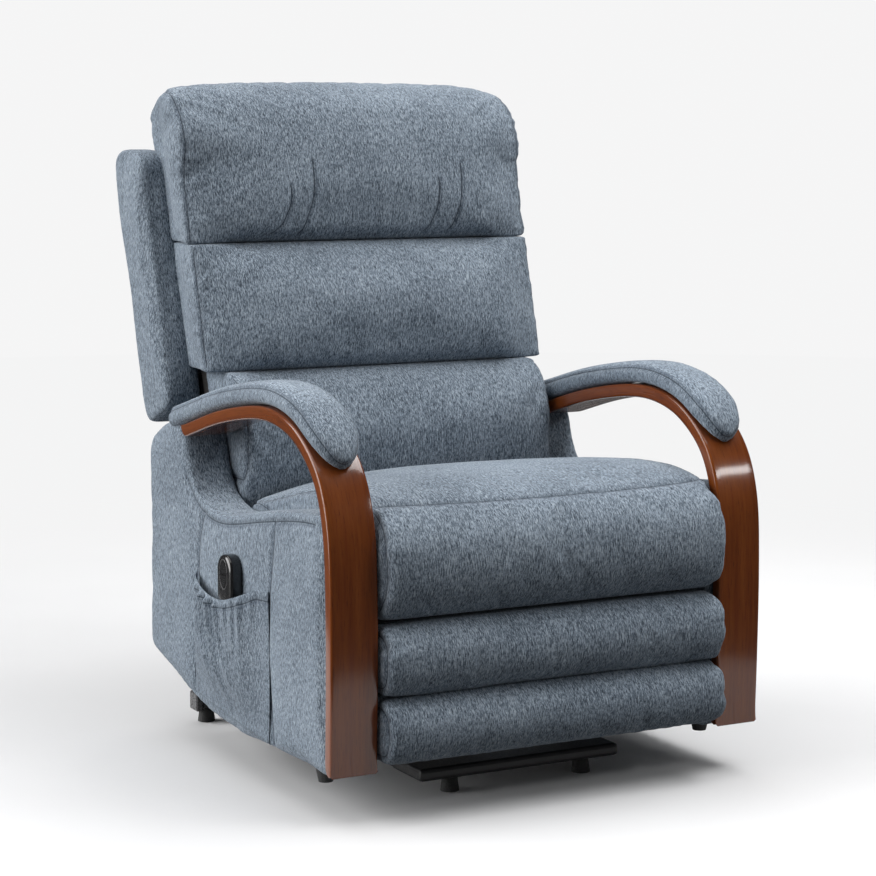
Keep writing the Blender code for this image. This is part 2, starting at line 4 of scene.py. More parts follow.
import bmesh
import bpy
import numpy as np
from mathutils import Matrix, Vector, noise
from mathutils.bvhtree import BVHTree
from mathutils.kdtree import KDTree


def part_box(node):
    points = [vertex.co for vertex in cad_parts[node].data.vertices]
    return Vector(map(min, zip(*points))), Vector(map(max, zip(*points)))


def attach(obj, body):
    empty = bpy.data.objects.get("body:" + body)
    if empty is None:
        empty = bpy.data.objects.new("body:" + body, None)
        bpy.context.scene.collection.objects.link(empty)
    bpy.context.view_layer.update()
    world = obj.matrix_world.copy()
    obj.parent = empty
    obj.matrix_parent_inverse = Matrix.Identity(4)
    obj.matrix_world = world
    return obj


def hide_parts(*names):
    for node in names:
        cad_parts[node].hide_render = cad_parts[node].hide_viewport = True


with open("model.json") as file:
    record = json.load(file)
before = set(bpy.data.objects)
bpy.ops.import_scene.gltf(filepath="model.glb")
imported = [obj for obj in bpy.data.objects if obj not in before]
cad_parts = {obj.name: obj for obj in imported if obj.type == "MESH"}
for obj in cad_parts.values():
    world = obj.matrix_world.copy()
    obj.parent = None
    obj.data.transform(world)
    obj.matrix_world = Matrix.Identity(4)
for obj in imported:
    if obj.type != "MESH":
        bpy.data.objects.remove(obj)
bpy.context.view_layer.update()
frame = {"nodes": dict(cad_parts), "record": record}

SCENE = bpy.context.scene
SIDES = (("left", 1), ("right", -1))

# The soft pieces' mesh size in metres, the frames they swell for, and how far a seam's fields reach.
VOXEL = 0.0055
FRAMES = 20
SEAM_REACH = 0.02


# ---- lines and sections

def section(node, x):
    """The CAD solid's outline in the plane at this x: (y, z) points, counter-clockwise."""
    work = bmesh.new()
    work.from_mesh(frame["nodes"][node].data)
    bmesh.ops.remove_doubles(work, verts=work.verts, dist=1e-5)
    cut = bmesh.ops.bisect_plane(work, geom=work.verts[:] + work.edges[:] + work.faces[:],
                                 plane_co=(x, 0, 0), plane_no=(1, 0, 0))
    edges = [item for item in cut["geom_cut"] if isinstance(item, bmesh.types.BMEdge)]
    beside = {}
    for edge in edges:
        one, other = edge.verts
        beside.setdefault(one, []).append(other)
        beside.setdefault(other, []).append(one)
    start = max(beside, key=lambda vert: (vert.co.z, vert.co.y))
    line, before, here = [], None, start
    while True:
        line.append((here.co.y, here.co.z))
        ahead = [vert for vert in beside[here] if vert is not before]
        if not ahead or ahead[0] is start and len(line) > 2:
            break
        before, here = here, ahead[0]
    work.free()
    line = np.array(line)
    turned = np.roll(line, -1, 0)
    area = (line[:, 0] * turned[:, 1] - turned[:, 0] * line[:, 1]).sum()
    return line if area > 0 else line[::-1]


def run_along(line):
    """The length along the line at each of its points."""
    return np.concatenate([[0], np.cumsum(np.linalg.norm(np.diff(line, axis=0), axis=1))])


def even(line, count, closed=True):
    """The line's points at equal spacing."""
    line = np.asarray(line, float)
    whole = np.vstack([line, line[:1]]) if closed else line
    run = run_along(whole)
    at = np.linspace(0, run[-1], count + 1)[:-1] if closed else np.linspace(0, run[-1], count)
    return np.stack([np.interp(at, run, whole[:, axis]) for axis in range(whole.shape[1])], 1)


def rounded(loop, times):
    """The closed loop with its corners eased."""
    for _ in range(times):
        loop = (np.roll(loop, 1, 0) + 2 * loop + np.roll(loop, -1, 0)) / 4
    return loop


def outward(loop):
    """The unit normals of a counter-clockwise loop."""
    along = np.roll(loop, -1, 0) - np.roll(loop, 1, 0)
    normal = np.stack([along[:, 1], -along[:, 0]], 1)
    return normal / np.maximum(np.linalg.norm(normal, axis=1, keepdims=True), 1e-9)


def ramp(value, low, high):
    """0 below low, 1 above high, and smooth between them."""
    t = np.clip((value - low) / (high - low), 0, 1)
    return t * t * (3 - 2 * t)


def bump(value, middle, width):
    """A smooth hump of height 1."""
    return np.exp(-((value - middle) / width) ** 2)


def rounded_box(half_a, half_b, corner, inset, steps):
    """The outline of a rectangle with round corners, drawn in by inset."""
    return [(a * (half_a - corner) + (corner - inset) * cos(angle),
             b * (half_b - corner) + (corner - inset) * sin(angle))
            for a, b, start in ((1, 1, 0), (-1, 1, 90), (-1, -1, 180), (1, -1, 270))
            for angle in np.radians(np.linspace(start, start + 90, steps))]


def stations(half, radius, count=28):
    """Places across the cushion, close together in its rounded ends, with the inset there."""
    inner = half - radius
    flat = list(np.linspace(-inner, inner, count))
    arc = [inner + radius * sin(angle) for angle in np.linspace(0, pi / 2, 8)[1:]]
    places = [-x for x in reversed(arc)] + flat + arc
    inset = [radius - sqrt(max(radius ** 2 - max(abs(x) - inner, 0) ** 2, 0)) for x in places]
    return list(zip(places, inset))


# ---- meshes

def new_object(name, mesh):
    piece = bpy.data.objects.new(name, mesh)
    SCENE.collection.objects.link(piece)
    return piece


def grid(rows, columns, ring_rows=False, ring_columns=False):
    """The faces between rows of points; a ring's last row or column meets its first."""
    faces = []
    for row in range(rows if ring_rows else rows - 1):
        here, ahead = row * columns, (row + 1) % rows * columns
        for column in range(columns if ring_columns else columns - 1):
            after = (column + 1) % columns
            faces.append((here + column, here + after, ahead + after, ahead + column))
    return faces


def loft(name, rings):
    """A skin over closed rings of points, with flat ends."""
    rings = np.asarray(rings, float)
    count, around = rings.shape[:2]
    faces = grid(count, around, ring_columns=True)
    faces.append(tuple(range(around))[::-1])
    faces.append(tuple((count - 1) * around + step for step in range(around)))
    return skin(name, rings.reshape(-1, 3).tolist(), faces)


def skin(name, points, faces):
    """A new mesh object whose faces look outward."""
    mesh = bpy.data.meshes.new(name)
    mesh.from_pydata(points, [], faces)
    work = bmesh.new()
    work.from_mesh(mesh)
    bmesh.ops.recalc_face_normals(work, faces=work.faces)
    work.to_mesh(mesh)
    work.free()
    return new_object(name, mesh)


def add_field(mesh, name, values, kind="FLOAT"):
    """A value at every point, which the materials read."""
    attribute = mesh.attributes.new(name, kind, "POINT")
    attribute.data.foreach_set("value" if kind == "FLOAT" else "vector",
                               np.asarray(values, np.float32).ravel())


def finish(piece, body, slot, material, *nodes):
    """The piece's material, the body it rides and the CAD nodes it stands in for; its slot is not
    used.
    """
    piece.data.materials.clear()
    piece.data.materials.append(MATERIALS[material])
    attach(piece, body)
    if nodes:
        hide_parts(*nodes)


def points_of(mesh):
    flat = np.zeros(len(mesh.vertices) * 3)
    mesh.vertices.foreach_get("co", flat)
    return flat.reshape(-1, 3)


def set_points(mesh, points):
    mesh.vertices.foreach_set("co", np.asarray(points, np.float32).ravel())
    mesh.update()


def normals_of(mesh):
    flat = np.zeros(len(mesh.vertices) * 3)
    mesh.vertex_normals.foreach_get("vector", flat)
    return flat.reshape(-1, 3)


def bake_modifiers(piece):
    """The piece's modifiers, applied."""
    bpy.context.view_layer.update()
    graph = bpy.context.evaluated_depsgraph_get()
    mesh = bpy.data.meshes.new_from_object(piece.evaluated_get(graph))
    piece.modifiers.clear()
    old, piece.data = piece.data, mesh
    bpy.data.meshes.remove(old)
    mesh.name = piece.name


def remeshed(piece, size):
    """The piece's mesh, rebuilt in even cells and eased."""
    even_mesh = piece.modifiers.new("Even mesh", "REMESH")
    even_mesh.mode = "VOXEL"
    even_mesh.voxel_size = size
    ease = piece.modifiers.new("Ease", "SMOOTH")
    ease.factor = 0.5
    ease.iterations = 2
    bake_modifiers(piece)


# ---- soft pieces

SOFT = []  # every padded piece, until it is dressed


def cushion_rings(node, end_radius, change=None, slack=0.0, count=96, ease=3, wider=0.0):
    """Rings across the CAD cushion: its own outline, rounded, and drawn in at its two ends."""
    low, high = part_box(node)
    middle, half = (low.x + high.x) / 2, (high.x - low.x) / 2 - slack + wider
    outline = rounded(even(section(node, middle), count), ease)
    rings = []
    for x, inset in stations(half, end_radius):
        loop = outline - outward(outline) * (inset + slack)
        ring = np.column_stack([np.full(len(loop), middle + x), loop])
        rings.append(change(ring, x / half) if change else ring)
    return rings


def on_surface(piece, line, step=0.004):
    """A rough line of points, laid on the piece's surface."""
    length = run_along(line)[-1]
    tree = BVHTree.FromObject(piece, bpy.context.evaluated_depsgraph_get())
    spots = even(line, max(int(length / step), 4), closed=False)
    return np.array([tree.find_nearest(Vector(spot))[0] for spot in spots])


def near(points, line, reach):
    """(distance, index on the line) of each point to a dense line; far points say reach."""
    tree = KDTree(len(line))
    for number, spot in enumerate(line):
        tree.insert(spot, number)
    tree.balance()
    gap = np.full(len(points), reach)
    index = np.zeros(len(points), int)
    low, high = line.min(0) - reach, line.max(0) + reach
    for number in np.nonzero(((points > low) & (points < high)).all(1))[0]:
        _, nearest, distance = tree.find(points[number])
        if distance < reach:
            gap[number], index[number] = distance, nearest
    return gap, index


def soft(name, rings, body, nodes, seams, hold, pressure, cap, fill,
         voxel=VOXEL, wrinkle=0.0, limit=None):
    """Registers a padded piece: its seams are stitched down and the rest of its cloth swells."""
    piece = loft(name, rings)
    remeshed(piece, voxel)
    lines = [dict(seam, line=on_surface(piece, seam["line"])) for seam in seams]
    SOFT.append(dict(piece=piece, body=body, nodes=nodes, seams=lines, hold=hold, cap=cap,
                     pressure=pressure, fill=fill, wrinkle=wrinkle, limit=limit))


def pin(entry):
    """Holds the cloth where it is stitched and where it lies on something hard."""
    piece = entry["piece"]
    points = points_of(piece.data)
    held = entry["hold"](points, normals_of(piece.data))
    for seam in entry["seams"]:
        if seam.get("pinned", True):
            held |= near(points, seam["line"], VOXEL * 1.1)[0] < VOXEL * 1.05
    group = piece.vertex_groups.new(name="stitched")
    group.add([int(number) for number in np.nonzero(held)[0]], 1.0, "REPLACE")
    return group.name


def simulate(entries):
    """Swells every cushion at once, then keeps each point within its cap."""
    rest = {}
    for entry in entries:
        piece = entry["piece"]
        rest[piece.name] = points_of(piece.data)
        group = pin(entry)
        cloth = piece.modifiers.new("Cloth", "CLOTH")
        settings = cloth.settings
        settings.quality = 5
        settings.mass = 0.3
        settings.tension_stiffness = 14
        settings.compression_stiffness = 14
        settings.shear_stiffness = 5
        settings.bending_stiffness = 0.4
        settings.use_pressure = True
        settings.uniform_pressure_force = entry["pressure"]
        settings.vertex_group_mass = group
        settings.shrink_min = -entry["wrinkle"]
        settings.effector_weights.gravity = 0
        cloth.collision_settings.use_collision = False
        cloth.point_cache.frame_start = 1
        cloth.point_cache.frame_end = FRAMES
    for number in range(1, FRAMES + 1):
        SCENE.frame_set(number)
    for entry in entries:
        piece = entry["piece"]
        bake_modifiers(piece)
        start = rest[piece.name]
        moved = points_of(piece.data) - start
        size = np.linalg.norm(moved, axis=1, keepdims=True)
        cap = entry["cap"]
        set_points(piece.data, start + moved * (cap * np.tanh(size / cap) / np.maximum(size, 1e-9)))
        piece.vertex_groups.clear()
    SCENE.frame_set(1)


def seam_fields(points, normals, line):
    """(gap, signed offset, length along) of each point to the seam."""
    dense = even(line, max(int(run_along(line)[-1] / 0.002), 4), closed=False)
    gap, index = near(points, dense, SEAM_REACH * 2.5)
    run = run_along(dense)
    along = np.gradient(dense, axis=0)
    along /= np.maximum(np.linalg.norm(along, axis=1, keepdims=True), 1e-9)
    apart = points - dense[index]
    forward = (apart * along[index]).sum(1)
    inside = (index > 0) & (index < len(dense) - 1)
    flat_gap = np.sqrt(np.maximum(gap ** 2 - forward ** 2, 0))
    gap = np.where(inside & (gap < SEAM_REACH * 2.4), flat_gap, gap)
    side = np.sign((np.cross(along[index], normals) * apart).sum(1))
    return gap, gap * side, run[index] + forward


def ripple(run, pitch, seed):
    """A smooth random wave along a seam, between -1 and 1."""
    spots = np.arange(0, run.max() + 3 * pitch, pitch)
    values = np.array([noise.noise(Vector((spot / pitch * 1.37, seed, 0.5))) for spot in spots])
    return np.interp(run, spots, np.clip(values * 1.8, -1, 1))


def dress(entry):
    """The finished surface: finer, with grooves and puckers along its seams, and its attributes."""
    piece = entry["piece"]
    finer = piece.modifiers.new("Finer", "SUBSURF")
    finer.levels = finer.render_levels = 1
    bake_modifiers(piece)
    mesh = piece.data
    for seam in entry["seams"]:
        seam["line"] = on_surface(piece, seam["line"])
    points, normals = points_of(mesh), normals_of(mesh)
    closest = np.full(len(points), SEAM_REACH)
    offset = np.full(len(points), SEAM_REACH)
    along = np.zeros(len(points))
    for number, seam in enumerate(entry["seams"]):
        gap, signed, run = seam_fields(points, normals, seam["line"])
        depth, width = seam.get("depth", 0.0022), seam.get("width", 0.006)
        points = points - normals * (depth * np.exp(-(gap / width) ** 2))[:, None]
        pucker, reach = seam.get("pucker", 0.0), seam.get("reach", 0.014)
        if pucker:
            wave = ripple(run, seam.get("pitch", 0.008), number + len(piece.name))
            strength = pucker * wave * np.exp(-(gap / reach) ** 2) * ramp(gap, 0.0, 0.004)
            points = points + normals * strength[:, None]
        gap = gap + (1 - seam.get("faint", 1.0)) * 0.002
        if seam.get("drawn", True):
            nearer = gap < closest
            closest = np.where(nearer, gap, closest)
            offset = np.where(nearer, signed, offset)
            along = np.where(nearer, run, along)
    set_points(mesh, entry["limit"](points) if entry["limit"] else points)
    add_field(mesh, "seam_gap", closest)
    add_field(mesh, "seam_offset", offset)
    add_field(mesh, "seam_along", along)
    mesh.shade_smooth()
    finish(piece, entry["body"], "fabric", "fabric", *entry["nodes"])


# ---- materials

class Nodes:
    """Short calls for building a material's node tree."""

    def __init__(self, name):
        self.material = bpy.data.materials.new(name)
        self.material.use_nodes = True
        self.tree = self.material.node_tree
        self.shader = self.tree.nodes["Principled BSDF"]

    def add(self, kind, inputs=None, **settings):
        made = self.tree.nodes.new(kind)
        for key, value in settings.items():
            setattr(made, key, value)
        for key, value in (inputs or {}).items():
            self.feed(made.inputs[key], value)
        return made

    def feed(self, socket, value):
        if isinstance(value, bpy.types.NodeSocket):
            self.tree.links.new(value, socket)
        else:
            socket.default_value = value

    def math(self, operation, one, other=0.0, third=0.0):
        made = self.add("ShaderNodeMath", {0: one, 1: other, 2: third}, operation=operation)
        return made.outputs[0]

    def vector(self, operation, one, other):
        return self.add("ShaderNodeVectorMath", {0: one, 1: other}, operation=operation).outputs[0]

    def noise(self, where, cells, detail=2.0, roughness=0.5, distortion=0.0):
        """Noise with this many cells per metre, or with (x, y, z) cells."""
        if isinstance(cells, tuple):
            where, cells = self.vector("MULTIPLY", where, cells), 1.0
        return self.add("ShaderNodeTexNoise", {"Vector": where, "Scale": cells, "Detail": detail,
                                               "Roughness": roughness,
                                               "Distortion": distortion}).outputs["Fac"]

    def range(self, value, low, high, to_low=0.0, to_high=1.0):
        return self.add("ShaderNodeMapRange", {0: value, 1: low, 2: high, 3: to_low, 4: to_high},
                        interpolation_type="SMOOTHSTEP").outputs[0]

    def mix(self, share, one, other):
        made = self.add("ShaderNodeMix", data_type="RGBA")
        self.feed(made.inputs[0], share)
        self.feed(made.inputs[6], one)
        self.feed(made.inputs[7], other)
        return made.outputs[2]

    def ramp(self, value, stops):
        made = self.add("ShaderNodeValToRGB", {0: value})
        elements = made.color_ramp.elements
        for place, colour in stops[2:]:
            elements.new(place)
        for element, (place, colour) in zip(elements, sorted(stops)):
            element.position = place
            element.color = (*colour, 1)
        return made.outputs[0]

    def attribute(self, name, vector=False):
        made = self.add("ShaderNodeAttribute", attribute_name=name)
        return made.outputs["Vector" if vector else "Fac"]

    def bump(self, height, strength, distance):
        return self.add("ShaderNodeBump", {"Height": height, "Strength": strength,
                                           "Distance": distance}).outputs[0]

    def set(self, **values):
        for key, value in values.items():
            self.feed(self.shader.inputs[key.replace("_", " ")], value)
        return self.material


# Noise cells per metre: upright threads, crosswise threads and broad slubs, each with its weight.
WEAVE = ((900, 170, 2.0, 0.62), (320, 1050, 1.0, 0.16), (520, 70, 2.0, 0.22))


def fabric_material():
    """Blue-grey melange chenille: short upright threads, navy to pale grey-blue, with stitching."""
    n = Nodes("chenille")
    where = n.add("ShaderNodeTexCoord")
    place, facing = where.outputs["Object"], where.outputs["Normal"]
    sideways = n.math("ABSOLUTE", n.add("ShaderNodeSeparateXYZ", {0: facing}).outputs[0])
    side = n.range(sideways, 0.66, 0.76)
    fibres, tone = [], None
    for across, along, detail, weight in WEAVE:
        front = n.noise(place, (across, along, along), detail, 0.6)
        flank = n.noise(place, (along, across, along), detail, 0.6)
        fibres.append(n.mix(side, front, flank))
        part = n.math("MULTIPLY", fibres[-1], weight)
        tone = part if tone is None else n.math("ADD", tone, part)
    broad = n.noise(place, 9.0, 3.0, 0.5)
    tone = n.math("ADD", tone, n.range(broad, 0.3, 0.7, -0.016, 0.016))
    colour = n.ramp(tone, ((0.385, (0.036, 0.047, 0.065)), (0.45, (0.098, 0.124, 0.156)),
                           (0.50, (0.168, 0.208, 0.254)), (0.55, (0.252, 0.302, 0.357)),
                           (0.63, (0.395, 0.452, 0.510))))
    gap, offset = n.attribute("seam_gap"), n.attribute("seam_offset")
    close = n.range(gap, 0.003, 0.006, 1.0, 0.0)
    line = n.range(n.math("ABSOLUTE", offset), 0.0004, 0.0017, 1.0, 0.0)
    line = n.math("MULTIPLY", line, close)
    soft_shade = n.range(gap, 0.0, 0.010, 0.30, 0.0)
    colour = n.mix(n.math("MAXIMUM", n.math("MULTIPLY", line, 0.85), soft_shade), colour,
                   (0.020, 0.028, 0.042, 1))
    stitch_row = n.range(n.math("ABSOLUTE", n.math("SUBTRACT", offset, 0.0042)),
                         0.0003, 0.0010, 1.0, 0.0)
    dash = n.range(n.math("PINGPONG", n.attribute("seam_along"), 0.0022), 0.0004, 0.0008)
    thread = n.math("MULTIPLY", n.math("MULTIPLY", stitch_row, dash), 0.55)
    thread = n.math("MULTIPLY", thread, n.range(gap, 0.007, 0.009, 1.0, 0.0))
    colour = n.mix(thread, colour, (0.075, 0.100, 0.145, 1))
    height = n.math("SUBTRACT", fibres[0], n.math("MULTIPLY", line, 1.6))
    height = n.math("SUBTRACT", height, n.math("MULTIPLY", thread, 0.7))
    rough = n.range(fibres[2], 0.3, 0.7, 0.80, 0.96)
    n.set(Base_Color=colour, Roughness=rough, Normal=n.bump(height, 0.38, 0.0010),
          Sheen_Weight=0.22, Sheen_Roughness=0.45, Sheen_Tint=(0.80, 0.87, 0.95, 1),
          Specular_IOR_Level=0.25)
    return n.material


def wood_material():
    """Cherry-brown laminated wood under gloss varnish; its grain runs along the band."""
    n = Nodes("varnished_wood")
    grain = n.attribute("grain", vector=True)
    fine = n.noise(grain, (9, 210, 260), 4.0, 0.6)
    figure = n.noise(grain, (2.6, 26, 34), 3.0, 0.55, 0.6)
    pores = n.noise(grain, (38, 900, 900), 2.0, 0.6)
    tone = n.mix(0.45, figure, fine)
    colour = n.ramp(tone, ((0.30, (0.100, 0.0200, 0.0016)), (0.46, (0.152, 0.0320, 0.0026)),
                           (0.56, (0.180, 0.0410, 0.0036)), (0.72, (0.225, 0.0570, 0.0066))))
    depth = n.add("ShaderNodeSeparateXYZ", {0: grain}).outputs[2]
    layer = n.range(n.math("PINGPONG", depth, 0.0018), 0.0, 0.0003, 0.80, 1.0)
    colour = n.mix(n.math("SUBTRACT", 1.0, layer), colour, (0.035, 0.010, 0.004, 1))
    colour = n.mix(n.range(pores, 0.58, 0.66, 0.0, 0.45), colour, (0.030, 0.008, 0.003, 1))
    # Painted sheen: the band's rounded corners (the edge field) are tinted a paler grey-brown for
    # the bright surroundings they mirror.
    colour = n.mix(n.math("MULTIPLY", n.attribute("edge"), 0.45), colour, (0.120, 0.044, 0.022, 1))
    n.set(Base_Color=colour, Roughness=n.range(figure, 0.3, 0.7, 0.24, 0.34),
          Normal=n.bump(fine, 0.10, 0.0006), Coat_Weight=1.0, Coat_Roughness=0.13, Coat_IOR=1.45,
          Specular_IOR_Level=0.12)
    return n.material


def plain_material(name, colour, worn, rough, metallic=0.0, bump=0.15, scale=260.0, coat=0.0):
    """Painted metal, plastic, rubber or bright steel: uneven sheen, fine texture and worn edges."""
    n = Nodes(name)
    place = n.add("ShaderNodeTexCoord").outputs["Object"]
    fine = n.noise(place, scale, 3.0, 0.6)
    broad = n.noise(place, scale / 22, 3.0, 0.6)
    share = n.range(broad, 0.45, 0.75, 0.0, 0.55)
    pointed = n.range(n.add("ShaderNodeNewGeometry").outputs["Pointiness"], 0.52, 0.60, 0.0, 0.6)
    tint = n.mix(n.math("MAXIMUM", share, pointed), (*colour, 1), (*worn, 1))
    n.set(Base_Color=tint, Roughness=n.range(fine, 0.3, 0.7, rough * 0.82, min(rough * 1.2, 1.0)),
          Normal=n.bump(fine, bump, 0.0004), Metallic=metallic, Coat_Weight=coat,
          Coat_Roughness=0.06)
    return n.material


def plywood_material():
    """Boards painted near-black, so the strip of board that shows between the back's parts reads as
    painted shade; their grain runs across the chair.
    """
    n = Nodes("plywood")
    place = n.add("ShaderNodeTexCoord").outputs["Object"]
    grain = n.noise(place, (14, 190, 190), 4.0, 0.6, 0.4)
    # Painted shade: the boards' colour is held near-black so a board seen in a gap reads as shadow.
    colour = n.ramp(grain, ((0.30, (0.006, 0.005, 0.0045)), (0.70, (0.015, 0.012, 0.010))))
    n.set(Base_Color=colour, Roughness=n.range(grain, 0.3, 0.7, 0.55, 0.75),
          Normal=n.bump(grain, 0.25, 0.0006))
    return n.material


MATERIALS = {
    "fabric": fabric_material(),
    "varnished_wood": wood_material(),
    "black_steel": plain_material("black_steel", (0.010, 0.010, 0.011), (0.030, 0.030, 0.031),
                                  0.42, metallic=0.2),
    "rubber": plain_material("rubber", (0.010, 0.010, 0.010), (0.022, 0.022, 0.022), 0.75,
                             bump=0.3, scale=420.0),
    "black_plastic": plain_material("black_plastic", (0.0035, 0.0035, 0.004), (0.007, 0.007, 0.008),
                                    0.22, bump=0.03, coat=0.6),
    "grey_plastic": plain_material("grey_plastic", (0.045, 0.045, 0.048), (0.090, 0.090, 0.094),
                                   0.28, bump=0.08),
    "plywood": plywood_material(),
    "bright_steel": plain_material("bright_steel", (0.52, 0.52, 0.53), (0.62, 0.62, 0.63), 0.24,
                                   metallic=1.0, bump=0.05),
}


def finish_cad_nodes():
    """The CAD nodes that stay get the material of their slot."""
    for row in frame["record"]["subparts"]:
        node = frame["nodes"][row["node"]]
        node.data.materials.clear()
        node.data.materials.append(MATERIALS[row["material_slot"]])


# ---- backrest

def back_frame():
    """The line behind the back cushions: y at a height, from the back board's front face."""
    outline = section("back_board", 0.0)
    front = outline[np.argsort(outline[:, 0])]
    low = min(front, key=lambda p: p[1] + p[0])
    high = max(front, key=lambda p: p[1] - 4 * abs(p[0] - low[0] - (p[1] - low[1]) / 3))
    return lambda z: low[0] + (z - low[1]) * (high[0] - low[0]) / (high[1] - low[1])


SEAM_1 = (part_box("headrest_cushion")[0].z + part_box("mid_back_cushion")[1].z) / 2
SEAM_2 = (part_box("mid_back_cushion")[0].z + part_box("lumbar_cushion")[1].z) / 2
FLUSH_SLOPE = 0.27
END_WIDER = 0.014  # how far the back's ends stand out past the board, in front
BOARD_MARGIN = 0.012  # cloth nearer than this to the board's plane is held against it


def flush_line(z):
    """Where the front of the back's two ends lies, once the grooves have run out."""
    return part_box("headrest_cushion")[0].y + 0.019 + (z - SEAM_1) * FLUSH_SLOPE


def back_rings(node, end_radius):
    """Rings across one back cushion: full height at its neighbours, and boxed at its two ends."""
    low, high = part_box(node)
    head, lumbar = node == "headrest_cushion", node == "lumbar_cushion"
    half = high.x + (0.0015 if lumbar else 0.003)
    outline = rounded(even(section(node, 0.0), 150), 2)
    plane = back_frame()
    behind_it = outline[:, 0] > plane(outline[:, 1]) - BOARD_MARGIN
    upper = ramp(outline[:, 1], SEAM_1 + 0.06, SEAM_1 + 0.15) if head else 0.0
    normal = outward(outline)
    normal[:, 1] *= upper
    normal[behind_it & (outline[:, 1] < high.z - 0.06)] = 0
    middle = (low.z + high.z) / 2
    rings = []
    for x, inset in stations(half, end_radius, 32):
        share = abs(x) / half
        loop = outline - normal * inset
        y, z = loop[:, 0], loop[:, 1]
        skirt = behind_it & (z < 1.034) & (abs(x) > 0.2878)
        y[skirt] = plane(z[skirt]) + 0.024 + 0.017 * ramp(z[skirt], 0.955, 0.980)
        if not lumbar:
            front = 1 - ramp(y - flush_line(z), 0.012, 0.030)
            flat = ramp(share, 0.72, 1.0) * front * (1 - ramp(z, SEAM_1 + 0.10, SEAM_1 + 0.20))
            y += flat * (flush_line(z) + inset - y)
        if head:
            high_up = ramp(z, SEAM_1 + 0.06, SEAM_1 + 0.26)
            z += high_up * (0.010 - 0.012 * share ** 2 - 0.012 * share ** 8)
            z -= 0.007 * high_up * ramp(y, 0.28, 0.40)
            y += 0.006 * share ** 4 * (1 - behind_it)
            z -= 0.0015 * (1 - upper)
        else:
            z += 0.0030 * (z - middle) / (high.z - low.z)
            y -= 0.004 * (1 - share ** 2) * (1 - behind_it)
        across = np.full(len(loop), x)
        if lumbar:
            z -= 0.046 * (1 - ramp(z, low.z, low.z + 0.08))
        else:
            fore = ramp(plane(z) - y, 0.0, 0.09)
            across += np.sign(x) * END_WIDER * ramp(share, 0.80, 1.0) * fore
        rings.append(np.column_stack([across, loop]))
    return rings


def behind(depth):
    """Holds what lies within this depth of the back board."""
    plane = back_frame()
    return lambda points, normals: points[:, 1] > plane(points[:, 2]) - depth


def edge_line(node, x, inset, pick, count=40):
    """Points of the cushion's outline that pick chooses, moved in by inset, at this x."""
    low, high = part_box(node)
    loop = rounded(even(section(node, (low.x + high.x) / 2), 160), 5)
    loop = loop - outward(loop) * inset
    keep = np.array([pick(y, z) for y, z in loop])
    start = int(np.argmax(keep & ~np.roll(keep, 1)))
    chosen = [loop[(start + step) % len(loop)] for step in range(len(loop))
              if keep[(start + step) % len(loop)]]
    return np.array([(x, y, z) for y, z in even(np.array(chosen), count, closed=False)])


def make_back():
    """Headrest, middle and lumbar cushions, each with a boxed seam at its two ends."""
    plane = back_frame()
    for name, node in (("headrest", "headrest_cushion"), ("middle_back", "mid_back_cushion"),
                       ("lumbar", "lumbar_cushion")):
        low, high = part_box(node)
        head, lumbar = name == "headrest", name == "lumbar"
        seams = []
        for sign in (1, -1):
            x = sign * (high.x + (0.0 if lumbar else END_WIDER))
            line = edge_line(node, x, 0.002, lambda y, z: y < plane(z) - BOARD_MARGIN)
            if not lumbar:
                share = 1 - ramp(line[:, 2], SEAM_1 + 0.10, SEAM_1 + 0.18)
                line[:, 1] += share * (flush_line(line[:, 2]) + 0.003 - line[:, 1])
            if not head:
                line = line[(line[:, 2] > low.z + 0.006) & (line[:, 2] < high.z - 0.006)]
            seams.append(dict(line=line, depth=0.0022, pucker=0.0022 if head else 0.0012,
                              pitch=0.011, reach=0.022))
        if head:
            seams += headrest_tucks(low)
        top = high.z + 1.0 if head else high.z - 0.004
        foot = low.z + (-0.042 if lumbar else 0.004)

        def hold(points, normals, foot=foot, top=top):
            back = points[:, 1] > plane(points[:, 2]) - BOARD_MARGIN
            return back | (points[:, 2] < foot) | (points[:, 2] > top)
        soft(f"{name}_cover", back_rings(node, 0.012), "backrest", [node], seams, hold,
             pressure=3.0, cap=0.014, fill=0.8, wrinkle=0.010, limit=channelled)


def channelled(points):
    """Draws the cloth into the two stitched channels, which fade out before the back's ends."""
    middle = 1 - ramp(np.abs(points[:, 0]), 0.215, 0.285)
    for seam, depth in ((SEAM_1, 0.013), (SEAM_2, 0.011)):
        points[:, 1] += depth * middle * bump(points[:, 2], seam, 0.014)
    low_part = points[:, 2] < SEAM_2
    points[:, 0] = np.where(low_part, np.clip(points[:, 0], -0.2905, 0.2905), points[:, 0])
    return points


def headrest_tucks(low):
    """Two pairs of short stitched tucks that rise from the headrest's lower seam."""
    tucks = []
    for x, lean, rise in ((-0.180, 0.034, 0.085), (-0.128, 0.026, 0.125), (0.110, 0.024, 0.092),
                          (0.156, 0.024, 0.118)):
        line = [(x + lean * (1 - (1 - t) ** 2.2), low.y - 0.004 + 0.34 * rise * t,
                 SEAM_1 + 0.004 + rise * t) for t in np.linspace(0, 1, 14)]
        tucks.append(dict(line=line, depth=0.0022, width=0.0040, pinned=False, faint=0.35))
        ridge = [(px + 0.0055, py, pz) for px, py, pz in line]
        tucks.append(dict(line=ridge, depth=-0.0012, width=0.0030, pinned=False, drawn=False))
    return tucks


